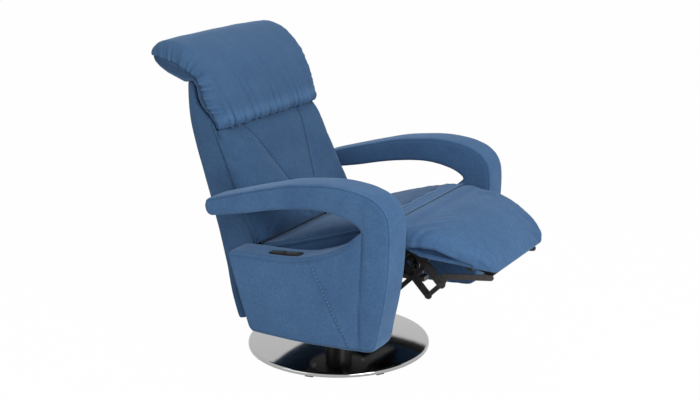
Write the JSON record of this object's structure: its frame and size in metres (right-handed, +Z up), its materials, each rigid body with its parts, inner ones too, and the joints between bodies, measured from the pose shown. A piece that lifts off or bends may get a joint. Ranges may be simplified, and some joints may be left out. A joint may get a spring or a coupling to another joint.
{
  "type": "swivel recliner",
  "caption": "Upholstered recliner that turns on a round steel floor disc, with C-shaped arms, a folding headrest and a footrest lifted by a link mechanism.",
  "frame": {"origin": "on the floor under the swivel axis", "axes": "+Z up, front of the chair toward -Y, the sitter's left toward +X"},
  "size_m": [0.75, 1.0872, 0.9552],
  "materials": {
    "rubber_black": "moulded, matt",
    "steel_plate": "zinc plated",
    "steel_brushed": "circular brushed",
    "metal_black": "black powder coat",
    "metal_grey": "dark grey coat",
    "upholstery": "napped blue microfibre over foam",
    "plywood": "plain plywood",
    "plastic_black": "fine texture",
    "rocker_grey": "satin",
    "webbing": "elastic webbing"
  },
  "bodies": {
    "base": {"glide_ring": "rubber_black", "base_plate": "steel_plate", "base_cover": "steel_brushed", "column_post": "metal_black", "column_screws": "steel_plate", "thrust_washer": "steel_plate"},
    "carriage": {"swivel_hub": "metal_black", "cross_rail_front": "metal_black", "cross_rail_rear": "metal_black", "frame_screws": "steel_plate", "carrier_plate_left": "metal_black", "carrier_plate_right": "metal_black", "pivot_shaft": "steel_plate", "arm_outer_left": "upholstery", "arm_inner_left": "upholstery", "arm_core_left": "plywood", "arm_outer_right": "upholstery", "arm_inner_right": "upholstery", "arm_core_right": "plywood", "panel_bezel": "plastic_black", "supply_box": "plastic_black", "back_rail": "metal_grey", "back_motor": "plastic_black"},
    "rocker_back": {"rocker_back": "rocker_grey"},
    "rocker_foot": {"rocker_foot": "rocker_grey"},
    "back_slider": {"back_slider": "plastic_black"},
    "seat": {"seat_plate_left": "metal_black", "seat_plate_right": "metal_black", "seat_bars": "metal_black", "seat_webbing": "webbing", "seat_pins": "steel_plate", "mech_plate_left": "metal_black", "mech_plate_right": "metal_black", "seat_cushion": "upholstery", "foot_rail": "metal_grey", "foot_motor": "plastic_black"},
    "foot_slider": {"foot_slider": "plastic_black"},
    "crank": {"torque_tube": "metal_black", "link_a_left": "metal_black", "link_a_right": "metal_black"},
    "link_b": {"link_b": "metal_black"},
    "link_c": {"link_c": "metal_black"},
    "foot": {"foot_bracket_left": "metal_grey", "foot_bracket_right": "metal_grey", "foot_board": "plywood", "foot_pad": "upholstery"},
    "back": {"back_upright_left": "metal_black", "back_upright_right": "metal_black", "back_tubes": "metal_black", "back_lever": "metal_black", "back_board": "plywood", "back_shell": "upholstery", "back_field_left": "upholstery", "back_field_middle": "upholstery", "back_field_right": "upholstery", "head_lower": "upholstery", "neck_leaves": "metal_black"},
    "head": {"head_upper": "upholstery", "head_board": "plywood", "head_leaves": "metal_black"}
  },
  "joints": [
    {"name": "swivel", "type": "hinge", "parent": "base", "child": "carriage", "pos_m": [0, 0, 0.1], "axis": [0, 0, 1], "continuous": true},
    {"name": "recline", "type": "hinge", "parent": "carriage", "child": "back", "pos_m": [0, 0.055, 0.262], "axis": [-1, 0, 0], "range_deg": [-16, 18]},
    {"name": "seat_tilt", "type": "hinge", "parent": "carriage", "child": "seat", "pos_m": [0, 0.055, 0.262], "axis": [-1, 0, 0], "range_deg": [-5.8, 6.5]},
    {"name": "back_drive", "type": "slide", "parent": "carriage", "child": "back_slider", "axis": [0, -1, 0], "range_m": [-0.0135, 0.0152]},
    {"name": "head_tilt", "type": "hinge", "parent": "back", "child": "head", "pos_m": [0, 0.352, 0.842], "axis": [1, 0, 0], "range_deg": [0, 38]},
    {"name": "footrest", "type": "hinge", "parent": "seat", "child": "foot", "pos_m": [0, -0.331, 0.419], "axis": [1, 0, 0], "range_deg": [-24, 77]},
    {"name": "link_a_turn", "type": "hinge", "parent": "seat", "child": "crank", "pos_m": [0, -0.285, 0.373], "axis": [1, 0, 0], "range_deg": [-25, 78]},
    {"name": "link_b_turn", "type": "hinge", "parent": "crank", "child": "link_b", "pos_m": [0, -0.3335, 0.3235], "axis": [1, 0, 0], "range_deg": [-78, 25]},
    {"name": "link_c_turn", "type": "hinge", "parent": "crank", "child": "link_c", "pos_m": [0, -0.382, 0.274], "axis": [1, 0, 0], "range_deg": [-78, 25]},
    {"name": "foot_drive", "type": "slide", "parent": "seat", "child": "foot_slider", "axis": [0, 1, 0], "range_m": [-0.0165, 0.0518]},
    {"name": "rocker_back_tip", "type": "hinge", "parent": "carriage", "child": "rocker_back", "pos_m": [-0.331, 0.00142, 0.38976], "axis": [1, 0, 0], "range_deg": [-6, 6], "stiffness_Nm_per_rad": 0.5},
    {"name": "rocker_foot_tip", "type": "hinge", "parent": "carriage", "child": "rocker_foot", "pos_m": [-0.331, -0.04636, 0.39428], "axis": [1, 0, 0], "range_deg": [-6, 6], "stiffness_Nm_per_rad": 0.5}
  ],
  "couplings": [
    {"joint": "seat_tilt", "follows": "recline", "ratio": 0.35},
    {"joint": "back_drive", "follows": "recline", "m_per_rad": 0.046},
    {"joint": "link_a_turn", "follows": "footrest", "ratio": 1},
    {"joint": "link_b_turn", "follows": "footrest", "ratio": -1},
    {"joint": "link_c_turn", "follows": "footrest", "ratio": -1},
    {"joint": "foot_drive", "follows": "footrest", "m_per_rad": 0.038}
  ]
}
